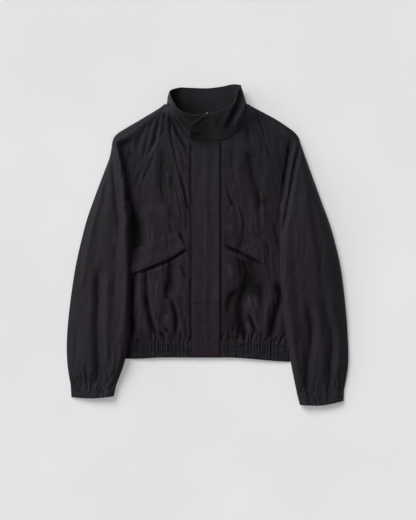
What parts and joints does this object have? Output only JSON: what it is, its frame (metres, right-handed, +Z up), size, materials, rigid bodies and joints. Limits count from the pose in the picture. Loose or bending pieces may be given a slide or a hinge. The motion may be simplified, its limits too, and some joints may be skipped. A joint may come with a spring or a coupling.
{
  "type": "bomber jacket",
  "caption": "Dark bomber jacket laid flat: raglan sleeves beside the body, standing lapped collar, covered zip, slanted flap pockets, gathered waistband and cuffs.",
  "frame": {"origin": "middle of the bounding box in plan, on the surface the jacket lies on", "axes": "+X to the wearer's left, +Y from hem to collar, +Z up out of the front"},
  "size_m": [0.7025, 0.8002, 0.0758],
  "materials": {
    "shell": "fine plain-woven cotton and nylon, near-black aubergine, dry with a low soft sheen",
    "trim": "the same cloth doubled over elastic in small even gathers",
    "zip": "woven zip tape with a dull grey coil"
  },
  "bodies": {
    "root": {"front_right": "shell", "front_left": "shell", "back": "shell", "sleeve_right": "shell", "sleeve_left": "shell", "cuff_right": "trim", "cuff_left": "trim", "waistband": "trim", "collar": "shell", "placket": "shell", "pocket_flap_right": "shell", "pocket_flap_left": "shell", "zip": "zip"}
  },
  "joints": []
}
